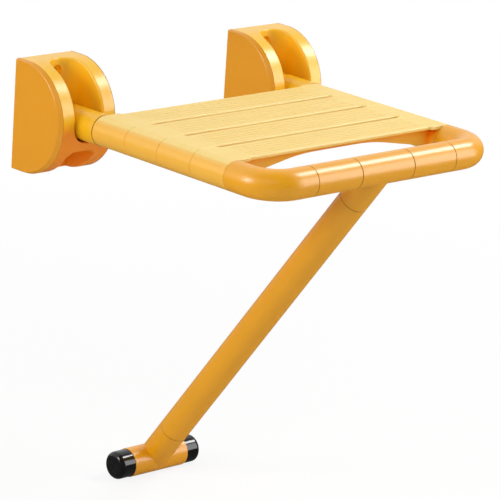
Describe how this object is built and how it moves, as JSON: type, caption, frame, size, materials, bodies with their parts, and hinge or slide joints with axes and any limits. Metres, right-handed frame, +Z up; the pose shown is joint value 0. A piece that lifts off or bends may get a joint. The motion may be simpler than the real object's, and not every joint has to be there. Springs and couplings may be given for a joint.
{
  "type": "folding wall-mounted shower seat",
  "caption": "Slatted yellow shower seat that folds up on hinged wall brackets, with a swinging diagonal leg on a tee foot with rubber caps.",
  "frame": {"origin": "centre of the wall bolt pattern on the wall plane, midway between the brackets at hinge height", "axes": "+Y into the wall, -Y out over the seat, +Z up, +X to the right seen from in front"},
  "size_m": [0.407, 0.4025, 0.5226],
  "materials": {
    "yellow_nylon": "satin gloss",
    "yellow_slat": "fine matt grain",
    "black_rubber": "smooth, shiny",
    "steel_tube": "drawn",
    "steel_fastener": "plain",
    "white_bush": "smooth"
  },
  "bodies": {
    "wall_brackets": {"bracket_housing_left": "yellow_nylon", "bracket_housing_right": "yellow_nylon", "side_cover_left_outer": "yellow_nylon", "side_cover_left_inner": "yellow_nylon", "side_cover_right_outer": "yellow_nylon", "side_cover_right_inner": "yellow_nylon", "hinge_bracket_left": "steel_tube", "hinge_bracket_right": "steel_tube", "hinge_bolt_left": "steel_fastener", "hinge_bolt_right": "steel_fastener", "hinge_nut_left": "steel_fastener", "hinge_nut_right": "steel_fastener", "hinge_washers_left": "steel_fastener", "hinge_washers_right": "steel_fastener", "rest_pad_left": "black_rubber", "rest_pad_right": "black_rubber"},
    "seat": {"hinge_knuckle_left": "yellow_nylon", "hinge_knuckle_right": "yellow_nylon", "hinge_bushes_left": "white_bush", "hinge_bushes_right": "white_bush", "arm_tube_left": "steel_tube", "arm_tube_right": "steel_tube", "seat_slat_1": "yellow_slat", "seat_slat_2": "yellow_slat", "seat_slat_3": "yellow_slat", "seat_slat_4": "yellow_slat", "elbow_left": "yellow_nylon", "elbow_right": "yellow_nylon", "front_tube": "steel_tube", "front_sleeve_left": "yellow_nylon", "front_sleeve_right": "yellow_nylon", "frame_set_screws": "steel_fastener"},
    "leg": {"leg_collar": "yellow_nylon", "collar_bush_left": "white_bush", "collar_bush_right": "white_bush", "leg_tube": "steel_tube", "leg_sleeve": "yellow_nylon", "foot_tee": "yellow_nylon", "foot_cap_left": "black_rubber", "foot_cap_right": "black_rubber", "leg_set_screws": "steel_fastener"}
  },
  "joints": [
    {"name": "seat_fold", "type": "hinge", "parent": "wall_brackets", "child": "seat", "pos_m": [0, -0.042, 0], "axis": [-1, 0, 0], "range_deg": [0, 90]},
    {"name": "leg_swing", "type": "hinge", "parent": "seat", "child": "leg", "pos_m": [0, -0.385, 0], "axis": [1, 0, 0], "range_deg": [0, 42]}
  ]
}
